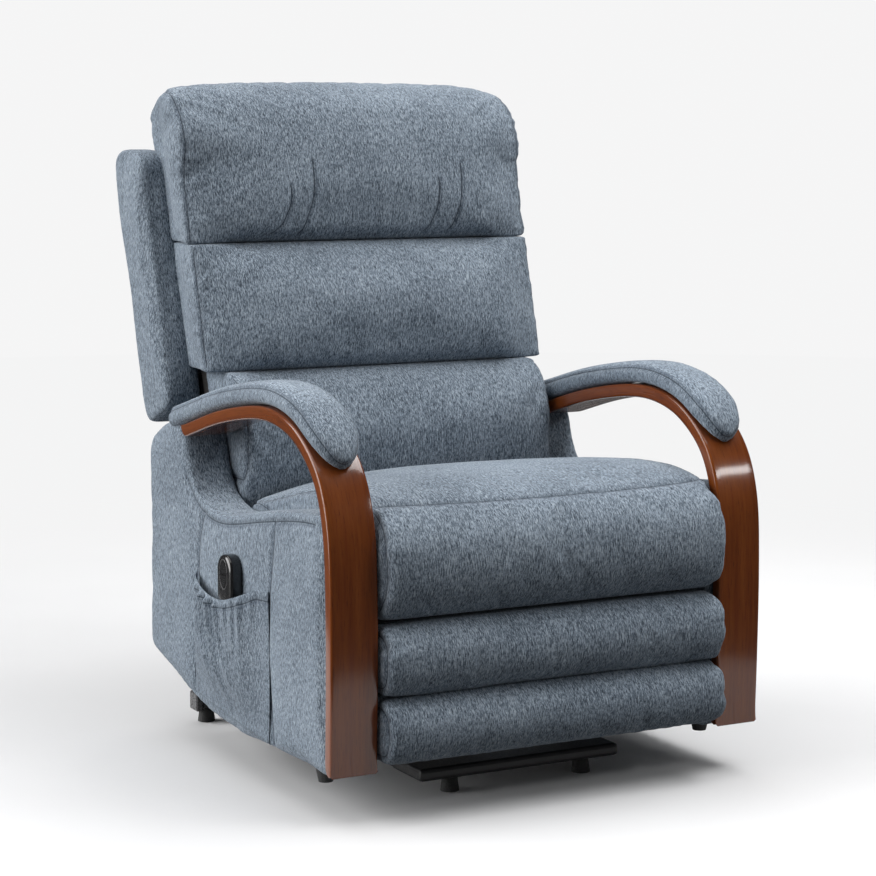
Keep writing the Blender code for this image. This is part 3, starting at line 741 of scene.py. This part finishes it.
def make_wings():
    """The two side wings, each a thin upholstered board."""
    for side, sign in SIDES:
        node = f"back_wing_{side}"
        low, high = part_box(node)

        def fuller(ring, x, low=low):
            ring = ring.copy()
            ring[:, 2] -= 0.009 * (1 - ramp(ring[:, 2], low.z, low.z + 0.10))
            return ring
        rings = cushion_rings(node, 0.011, fuller, slack=-0.005, ease=2)
        rings = [ring + np.array([sign * 0.004, 0, 0]) for ring in rings]
        outer = high.x if sign > 0 else low.x
        line = edge_line(node, outer - sign * 0.006, 0.012, lambda y, z: True)
        soft(f"wing_cover_{side}", rings, "backrest", [node],
             [dict(line=line[20:], depth=0.001, drawn=False, pinned=False)],
             lambda points, normals, s=sign: points[:, 0] * s < 0.2915,
             pressure=1.8, cap=0.006, fill=0.9)


def make_rear():
    """The upholstered rear shell, with a seam down each side."""
    node = "back_shell"
    _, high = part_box(node)
    rings = cushion_rings(node, 0.012, slack=0.003, ease=2)
    seams = [dict(line=edge_line(node, sign * (high.x - 0.030), 0.0,
                                 lambda y, z: y > 0.30 and z < 1.0), depth=0.0018)
             for sign in (1, -1)]
    soft("rear_cover", rings, "backrest", [node], seams,
         behind(-0.030), pressure=1.6, cap=0.008, fill=0.9, voxel=VOXEL * 1.2)


# ---- seat and footrest

def seat_change(ring, x):
    """Crowned across, with its top falling at the two sides."""
    ring = ring.copy()
    low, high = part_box("seat_cushion")
    top = ramp(ring[:, 2], low.z + 0.08, high.z - 0.01)
    rear = ramp(ring[:, 1], -0.30, high.y - 0.01)
    ring[:, 2] += top * (-0.006 - 0.005 * abs(x) ** 7 - 0.030 * rear * abs(x) ** 2.6)
    return ring


def between_panels(points):
    """Keeps the seat off the side panels, behind the front posts."""
    wide = np.where(points[:, 1] > -0.425, 0.2912, 0.2965)
    points[:, 0] = np.clip(points[:, 0], -wide, wide)
    return points


def make_seat():
    """The seat cushion: a seam across its front edge, and a boxed seam round each end."""
    node = "seat_cushion"
    low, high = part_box(node)
    rings = cushion_rings(node, 0.014, seat_change, slack=0.0005, ease=3, wider=0.004)
    reach = high.x - 0.006
    front = [(x, low.y + 0.046 + 0.016 * (x / high.x) ** 4,
              high.z - 0.012 + 0.010 * (x / high.x) ** 2) for x in np.linspace(-reach, reach, 60)]
    seams = [dict(line=front, depth=0.0030, width=0.008, pucker=0.0010, pitch=0.010)]
    for sign in (1, -1):
        x = sign * (high.x + 0.004)
        line = edge_line(node, x, 0.017, lambda y, z: y < high.y - 0.02 and z > low.z + 0.02
                         and not (y > -0.36 and z < high.z - 0.10))
        seams.append(dict(line=line, depth=0.0020, pucker=0.0024, pitch=0.014, reach=0.026))
    soft("seat_cover", rings, "chair_frame", [node], seams,
         lambda points, normals: (points[:, 2] < low.z + 0.055) & (points[:, 1] > low.y + 0.11)
         | (points[:, 1] > high.y - 0.012) & (points[:, 2] < high.z - 0.10)
         | (points[:, 2] < low.z + 0.006) & (points[:, 1] > low.y + 0.035),
         pressure=3.4, cap=0.010, fill=0.75, wrinkle=0.010, limit=between_panels,
         voxel=VOXEL * 1.15)


def between_posts(points):
    """Keeps the footrest off the front posts."""
    points[:, 0] = np.clip(points[:, 0], -0.2950, 0.2950)
    return points


def make_footrest():
    """The footrest's two cushions."""
    for name, node in (("upper", "footrest_upper_cushion"), ("lower", "footrest_lower_cushion")):
        low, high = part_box(node)

        def change(ring, x):
            ring = ring.copy()
            middle = (low.z + high.z) / 2
            ring[:, 2] = middle + (ring[:, 2] - middle) * (1.015 - 0.05 * abs(x) ** 6)
            return ring
        rings = cushion_rings(node, 0.011, change, slack=-0.0008, ease=2, wider=0.0075)
        seams = []
        for sign in (1, -1):
            line = edge_line(node, sign * (high.x + 0.008), 0.014, lambda y, z: y < high.y - 0.010)
            seams.append(dict(line=line, depth=0.0020, pucker=0.0026, pitch=0.013, reach=0.024))
        soft(f"footrest_cover_{name}", rings, "footrest", [node], seams,
             lambda points, normals, low=low, high=high: (points[:, 1] > high.y - 0.014)
             | (points[:, 1] > low.y + 0.032)
             & ((points[:, 2] < low.z + 0.004) | (points[:, 2] > high.z - 0.004)),
             pressure=3.5, cap=0.009, fill=0.8, wrinkle=0.012, limit=between_posts)


# ---- side panels, pads and bands

def outside_cushions(points):
    """Keeps a side panel off the seat and the back."""
    side = 1 if points[:, 0].mean() > 0 else -1
    points[:, 0] = side * np.maximum(side * points[:, 0], 0.2922)
    return points


# The two seams that run down each side panel, as (y, z).
REAR_SEAM = ((0.040, 0.398), (0.061, 0.351), (0.067, 0.300), (0.071, 0.240), (0.076, 0.184),
             (0.078, 0.100))
FRONT_SEAM = ((-0.236, 0.424), (-0.232, 0.390), (-0.215, 0.311), (-0.207, 0.214), (-0.226, 0.078))


def make_panels():
    """The side panels: a seam under the top edge and two that run down from it."""
    for side, sign in SIDES:
        node = f"side_panel_{side}"
        low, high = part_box(node)
        outer = high.x if sign > 0 else low.x
        rings = cushion_rings(node, 0.006, slack=-0.0012, count=220, ease=1)
        face = outer - sign * 0.002
        top = edge_line(node, face, 0.013, lambda y, z: z > 0.39 and -0.385 < y < 0.112, count=60)
        seams = [dict(line=top, depth=0.0020, pucker=0.0006)]
        seams += [dict(line=[(face, y, z) for y, z in down], depth=0.0022)
                  for down in (REAR_SEAM, FRONT_SEAM)]
        soft(f"side_cover_{side}", rings, "chair_frame", [node], seams,
             lambda points, normals, s=sign: points[:, 0] * s < 0.300,
             pressure=1.2, cap=0.005, fill=0.95, limit=outside_cushions)


def band_chains(side):
    """The band's outer and inner lines, from its rear end round to its foot, as (y, z)."""
    node = f"arm_band_{side}"
    low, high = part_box(node)
    loop = section(node, (low.x + high.x) / 2)
    start = int(np.argmax(loop.sum(1)))
    end = int(np.argmin(loop.sum(1)))
    loop = np.roll(loop, -start, 0)
    end = (end - start) % len(loop)
    one, other = loop[:end + 1], np.vstack([loop[end:], loop[:1]])[::-1]
    outer, inner = (one, other) if one[:, 1].max() > other[:, 1].max() else (other, one)
    return outer, inner[1:-1], (low.x, high.x)


def make_bands():
    """Bentwood bands: a rounded bar swept along the arm."""
    count, radius, thick = 120, 0.0042, 0.0215
    for side in ("left", "right"):
        outer, inner, (low_x, high_x) = band_chains(side)
        outer, inner = even(outer, count, False), even(inner, count, False)
        for line in (outer, inner) * 3:
            line[1:-1] = (line[:-2] + 2 * line[1:-1] + line[2:]) / 4
        run = run_along(outer)
        wide = high_x - low_x
        corners = np.array(rounded_box(wide / 2, thick / 2, radius, 0.0, 7))
        corners = fill_long_sides(corners, 0.010)
        rings, grain = [], []
        ends = [(0, 0.0035), (0, 0.0012), (0, 0.0)]
        order = ends + [(number, 0.0) for number in range(1, count - 1)] \
            + [(count - 1, shrink) for _, shrink in ends[::-1]]
        for number, shrink in order:
            up = outer[number] - inner[number]
            spot = (outer[number] + inner[number]) / 2
            if number in (0, count - 1):
                inward = (outer[1] - outer[0]) if number == 0 else (outer[-2] - outer[-1])
                spot = spot + inward / np.linalg.norm(inward) * (0.0034 - 0.96 * shrink)
            narrow, pull = 1 - 2 * shrink / wide, (1 - 2 * shrink / thick) / thick
            rings.append([((low_x + high_x) / 2 + across * narrow, *(spot + up * depth * pull))
                          for across, depth in corners])
            grain += [(run[number], across, depth) for across, depth in corners]
        # edge: 1 on the band's rounded corners, where the wood material paints a paler sheen.
        edge = [float(np.clip(1 - (wide / 2 - abs(across)) / 0.0018
                              - (thick / 2 - abs(depth)) / 0.0018, 0, 1))
                for across, depth in corners] * len(rings)
        piece = loft(f"bentwood_arm_{side}", rings)
        mesh = piece.data
        add_field(mesh, "grain", grain, "FLOAT_VECTOR")
        add_field(mesh, "edge", edge)
        mesh.shade_smooth()
        mesh.set_sharp_from_angle(angle=radians(50))
        finish(piece, "chair_frame", "varnished_wood", "varnished_wood", f"arm_band_{side}")


def fill_long_sides(loop, step):
    """The loop with extra points along its long straight sides."""
    filled = []
    for here, after in zip(loop, np.roll(loop, -1, 0)):
        parts = max(int(np.linalg.norm(after - here) / step), 1)
        filled += [here + (after - here) * part / parts for part in range(parts)]
    return np.array(filled)


PAD_THICKNESS = 0.0405
PAD_LOWEST, PAD_FOREMOST = 0.50, -0.4065  # the pad's front end: z and y on the band's outer line


def make_pads():
    """Each pad is a domed tongue along the top of its band, with a boxing seam round it."""
    for side in ("left", "right"):
        outer = band_chains(side)[0]
        low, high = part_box(f"arm_pad_{side}")
        middle = (low.x + high.x) / 2
        line = even(outer, 200, False)
        ahead = (line[0] - line[4]) / np.linalg.norm(line[0] - line[4])
        tail = [line[0] + ahead * step for step in np.linspace(0.062, 0.004, 20)]
        line = np.vstack([tail, line])
        line = line[(line[:, 1] > PAD_LOWEST) & (line[:, 0] > PAD_FOREMOST)]
        line = even(line, 60, False)
        run = run_along(line)
        total = run[-1]
        half = (high.x - low.x) / 2 - 0.0045
        rings = []
        nose, heel = 0.074, 0.020
        spots = np.concatenate([heel * (1 - np.cos(np.linspace(0, pi / 2, 8))),
                                np.linspace(heel, total - nose, 34)[1:-1],
                                total - nose + nose * np.sin(np.linspace(0, pi / 2, 12))])
        for at in spots:
            y, z = np.interp(at, run, line[:, 0]), np.interp(at, run, line[:, 1])
            along = np.array([np.interp(at + 0.004, run, line[:, axis])
                              - np.interp(at - 0.004, run, line[:, axis]) for axis in (0, 1)])
            along /= max(np.hypot(*along), 1e-9)
            up = np.array([along[1], -along[0]])
            up = up if up[1] - up[0] * 0.2 > 0 else -up
            back = max(heel - at, 0) / heel
            fore = max(at - (total - nose), 0) / nose
            wide = half * sqrt(max(1 - fore ** 2.0, 0.0004)) * (1 - 0.30 * back ** 2)
            tall = PAD_THICKNESS * sqrt(max(1 - fore ** 2.6 * 0.80, 0.02)) \
                * sqrt(max(1 - back ** 2 * 0.72, 0.02))
            tall *= 1 - 0.10 * bump(at / total, 0.55, 0.30)
            ring = []
            for angle in np.linspace(0, 2 * pi, 40, endpoint=False):
                across = np.sign(cos(angle)) * abs(cos(angle)) ** 0.62
                rise = np.sign(sin(angle)) * abs(sin(angle)) ** 0.72
                lift = tall * (0.40 + 0.60 * rise) if rise > 0 else tall * 0.40 * (1 + rise)
                spot = np.array([y, z]) + up * (lift + 0.0005)
                ring.append((middle + wide * across, *spot))
            rings.append(ring)
        one, other = ([ring[pick] for ring in rings] for pick in (3, 17))
        whole = one[3:] + other[::-1][:-3]
        soft(f"arm_pad_cover_{side}", rings, "chair_frame", [f"arm_pad_{side}"],
             [dict(line=whole, depth=0.0020, width=0.005, pucker=0.0007, pitch=0.009)],
             lambda points, normals: normals[:, 2] < -0.55,
             pressure=2.4, cap=0.006, fill=0.85, voxel=VOXEL * 0.82)


# ---- pocket and handset

HEM = 0.014
POCKET_BELLY = 0.0210  # how far the cloth stands off the panel in its middle
GATHER = 0.0066  # how far one gather stands out
HANDSET_DEPTH = 0.0236  # the least depth over the handset


# Gathers under the pocket's elastic hem: place, drift, width, strength and reach down the cloth.
POCKET_FOLDS = (
    (0.09, 0.05, 0.020, 1.0, 0.80), (0.15, 0.08, 0.018, -1.0, 0.75),
    (0.21, 0.14, 0.020, 1.3, 1.05), (0.27, 0.17, 0.018, -1.1, 0.95),
    (0.33, 0.22, 0.021, 1.4, 1.15), (0.39, 0.24, 0.018, -1.0, 0.85),
    (0.45, 0.28, 0.020, 1.1, 1.00), (0.52, 0.14, 0.018, -0.7, 0.60),
    (0.59, 0.06, 0.019, 0.9, 0.60), (0.66, 0.03, 0.019, -0.7, 0.50),
    (0.74, 0.01, 0.020, 0.8, 0.55), (0.84, -0.01, 0.020, 0.5, 0.40),
)


def make_pocket():
    """One gathered piece of cloth, stitched to the panel down its sides and along its foot."""
    low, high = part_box("side_pocket")
    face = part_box("side_panel_right")[0].x - 0.0022
    across, down = 110, 70
    outer, inner, drops = [], [], []
    for row in range(down + 1):
        v = row / down
        for column in range(across + 1):
            u = column / across
            rear, front = high.y + 0.012 * v, low.y - 0.004 * sin(pi * v)
            y = rear + (front - rear) * u
            edge = high.z + 0.010 - 0.022 * sin(pi * min(u * 1.15, 1.0)) ** 0.8 \
                + 0.013 * ramp(u, 0.45, 1.0)
            foot = low.z + 0.018 * (1 - u) - 0.006 * u
            z = edge + (foot - edge) * v
            belly = POCKET_BELLY * sin(pi * u ** 0.9) ** 0.6 * ramp(1 - u, 0.0, 0.30)
            belly *= 1 - ramp(v, 0.50, 1.0) * 0.92
            fold = sum(strength * bump(u, place + drift * v ** 1.4, wide * (1 + 0.6 * v))
                       * ramp(v, 0.0, 0.06) * (1 - ramp(v, 0.12, reach))
                       for place, drift, wide, strength, reach in POCKET_FOLDS)
            sides = min(ramp(u, 0.0, 0.04), ramp(1 - u, 0.0, 0.04))
            depth = 0.0005 + 0.0017 * sides + belly + GATHER * fold * sin(pi * u) ** 0.4
            over_handset = ramp(u, 0.42, 0.47) * (1 - ramp(u, 0.67, 0.72))
            over_handset *= 1 - ramp(v, 0.40, 0.60)
            depth = max(depth, HANDSET_DEPTH * over_handset)
            outer.append((face - depth, y, z))
            inner.append((face - max(depth - 0.0016, 0.0003), y, z))
            drops.append((min(v * (high.z - low.z), SEAM_REACH) - HEM, y))
    width, shift = across + 1, len(outer)
    faces = grid(down + 1, width)
    faces += [(shift + a, shift + d, shift + c, shift + b) for a, b, c, d in faces]
    rim = [row * width for row in range(down + 1)] \
        + [down * width + column for column in range(1, width)] \
        + [row * width + across for row in range(down - 1, -1, -1)] \
        + [column for column in range(across - 1, 0, -1)]
    for here, after in zip(rim, rim[1:] + rim[:1]):
        faces.append((here, after, shift + after, shift + here))
    piece = skin("pocket_cloth", outer + inner, faces)
    from_hem, run = np.array(drops * 2).T
    add_field(piece.data, "seam_gap", np.abs(from_hem))
    add_field(piece.data, "seam_offset", from_hem)
    add_field(piece.data, "seam_along", run)
    piece.data.shade_smooth()
    finish(piece, "chair_frame", "fabric", "fabric", "side_pocket")


def make_handset():
    """A smooth shell over the handset's body, with a lighter grey ring round its oval rocker that
    paints the highlight on the well's rim.
    """
    low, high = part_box("handset_body")
    middle = (low + high) / 2
    half_y, half_z, half_x = (high.y - low.y) / 2, (high.z - low.z) / 2, (high.x - low.x) / 2
    corner, edge = 0.026, 0.0058
    rings = []
    for t in np.linspace(-1, 1, 21):
        depth = half_x * t
        over = max(abs(depth) - (half_x - edge), 0)
        inset = edge - sqrt(max(edge ** 2 - over ** 2, 0))
        rings.append([(middle.x + depth, middle.y + y, middle.z + z)
                      for y, z in rounded_box(half_y, half_z, corner, inset, 10)])
    shell = loft("handset_shell", rings)
    key_low, key_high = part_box("handset_button_down")[0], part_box("handset_button_up")[1]
    centre = Vector((low.x, (key_low.y + key_high.y) / 2, (key_low.z + key_high.z) / 2))
    tall, wide = (key_high.z - key_low.z) / 2 + 0.0019, (key_high.y - key_low.y) / 2 + 0.0010
    cutter = loft("rocker_cutter", [oval_ring(centre, wide, tall, depth)
                                    for depth in (-0.006, 0.0042)])
    cut = shell.modifiers.new("Rocker well", "BOOLEAN")
    cut.operation, cut.solver, cut.object = "DIFFERENCE", "EXACT", cutter
    bake_modifiers(shell)
    bpy.data.objects.remove(cutter)
    shell.data.shade_smooth()
    shell.data.set_sharp_from_angle(angle=radians(42))
    # Painted highlight: a ring of lighter grey plastic round the rocker well stands in for the glint
    # on its rim.
    ring = torus_ring("handset_ring", centre, wide + 0.0006, tall + 0.0006, 0.0009)
    finish(shell, "handset", "black_plastic", "black_plastic", "handset_body")
    finish(ring, "handset", "grey_plastic", "grey_plastic")


def oval_ring(centre, wide, tall, depth, count=48):
    """An oval in the plane of the handset's face, at this depth behind it."""
    return [(centre.x + depth, centre.y + wide * cos(angle), centre.z + tall * sin(angle))
            for angle in np.linspace(0, 2 * pi, count, endpoint=False)]


def torus_ring(name, centre, wide, tall, radius, count=64, sides=10):
    """An oval ring of round section that lies on the handset's face."""
    points = []
    for angle in np.linspace(0, 2 * pi, count, endpoint=False):
        for turn in np.linspace(0, 2 * pi, sides, endpoint=False):
            reach = radius * cos(turn)
            points.append((centre.x + radius * sin(turn) * 0.8,
                           centre.y + (wide + reach) * cos(angle),
                           centre.z + (tall + reach) * sin(angle)))
    mesh = bpy.data.meshes.new(name)
    mesh.from_pydata(points, [], grid(count, sides, True, True))
    mesh.shade_smooth()
    return new_object(name, mesh)


# ---- stage

NEAR_FLOOR = 1.25  # the part of the floor that the varnish mirrors
FLOOR_FADE = (0.85, 2.7)


def make_stage():
    """A white floor that fades into a white dome; neither adds diffuse light to the chair."""
    n = Nodes("floor_paper")
    place = n.add("ShaderNodeTexCoord").outputs["Object"]
    paper = n.ramp(n.noise(place, 3.0), ((0.3, (0.77, 0.77, 0.775)), (0.7, (0.79, 0.79, 0.795))))
    n.set(Base_Color=paper, Roughness=0.6, Specular_IOR_Level=0.2)
    away = n.vector("LENGTH", place, (0, 0, 0)).node.outputs["Value"]
    glow = n.add("ShaderNodeEmission", {"Color": (0.905, 0.906, 0.908, 1), "Strength": 1.0})
    blend = n.add("ShaderNodeMixShader", {0: n.range(away, *FLOOR_FADE), 1: n.shader.outputs[0],
                                          2: glow.outputs[0]})
    n.tree.links.new(blend.outputs[0], n.tree.nodes["Material Output"].inputs[0])
    near_floor = disc("floor", 0.0, NEAR_FLOOR)
    far_floor = disc("far_floor", NEAR_FLOOR, 7.0)
    far_floor.visible_glossy = False
    for floor in (near_floor, far_floor):
        floor.location.z = -0.0008
        floor.data.materials.append(n.material)
        floor.visible_diffuse = False
    wall = bpy.data.meshes.new("backdrop")
    work = bmesh.new()
    bmesh.ops.create_uvsphere(work, u_segments=48, v_segments=24, radius=14.0)
    work.to_mesh(wall)
    work.free()
    wall = new_object("backdrop", wall)
    wall.visible_diffuse = wall.visible_glossy = wall.visible_shadow = False
    wall.visible_transmission = False
    n = Nodes("backdrop_white")
    glow = n.add("ShaderNodeEmission", {"Color": (0.915, 0.915, 0.917, 1), "Strength": 1.0})
    n.tree.links.new(glow.outputs[0], n.tree.nodes["Material Output"].inputs[0])
    wall.data.materials.append(n.material)


def disc(name, inner, outer, count=96):
    """A flat disc, or a flat ring when inner isn't 0."""
    turns = np.linspace(0, 2 * pi, count, endpoint=False)
    points = [(outer * cos(turn), outer * sin(turn), 0) for turn in turns]
    faces = [tuple(range(count))]
    if inner:
        points += [(inner * cos(turn), inner * sin(turn), 0) for turn in turns]
        faces = [(step, (step + 1) % count, count + (step + 1) % count, count + step)
                 for step in range(count)]
    mesh = bpy.data.meshes.new(name)
    mesh.from_pydata(points, [], faces)
    return new_object(name, mesh)


def add_area(name, place, aim, size, power):
    """A rectangular lamp at a place, turned toward a point."""
    data = bpy.data.lights.new(name, "AREA")
    data.shape = "RECTANGLE"
    data.size, data.size_y = size
    data.energy = power
    light = new_object(name, data)
    light.location = place
    light.rotation_euler = (Vector(aim) - Vector(place)).to_track_quat("-Z", "Y").to_euler()
    return light


def add_sun(name, toward, strength, spread):
    """A very soft sun whose light comes from this direction."""
    data = bpy.data.lights.new(name, "SUN")
    data.energy = strength
    data.angle = radians(spread)
    light = new_object(name, data)
    light.rotation_euler = Vector(toward).to_track_quat("Z", "Y").to_euler()
    return light


def make_lights():
    """Broad light from overhead and from the chair's right, with boxes for the highlights."""
    add_sun("overhead", (0.0, 0.14, 1.0), 1.75, 66)
    add_sun("left_fill", (-1.0, 0.44, 0.40), 4.0, 58)
    fill = add_sun("front_fill", (0.5, -1.0, 0.3), 0.24, 110)
    fill.visible_glossy = False
    add_area("overhead_box", (1.25, -0.55, 2.8), (0.1, -0.1, 0.4), (1.5, 0.7), 26)
    add_area("front_box", (1.75, -2.3, 1.75), (0.3, -0.4, 0.5), (0.8, 0.26), 10)
    top = add_area("front_top", (0.7, -1.7, 2.6), (0, 0.1, 0.8), (1.4, 0.9), 20)
    top.visible_glossy = False
    world = bpy.data.worlds.new("studio")
    SCENE.world = world
    world.use_nodes = True
    world.node_tree.nodes["Background"].inputs["Color"].default_value = (0.085, 0.086, 0.088, 1)
    SCENE.view_settings.view_transform = "Standard"


def make_camera():
    """The photograph's angle: 28 degrees to the chair's right, 7 degrees down."""
    data = bpy.data.cameras.new("camera")
    data.lens = 99.73
    data.sensor_width = 36.0
    data.clip_end = 60
    camera = new_object("camera", data)
    camera.location = (-1.845, -3.542, 1.0146)
    camera.rotation_euler = (radians(90 - 7.307), 0, radians(-28.0))
    SCENE.camera = camera


make_camera()
finish_cad_nodes()
make_back()
make_wings()
make_rear()
make_seat()
make_footrest()
make_panels()
make_pads()
simulate(SOFT)
for soft_entry in SOFT:
    dress(soft_entry)
make_bands()
make_pocket()
make_handset()
make_stage()
make_lights()
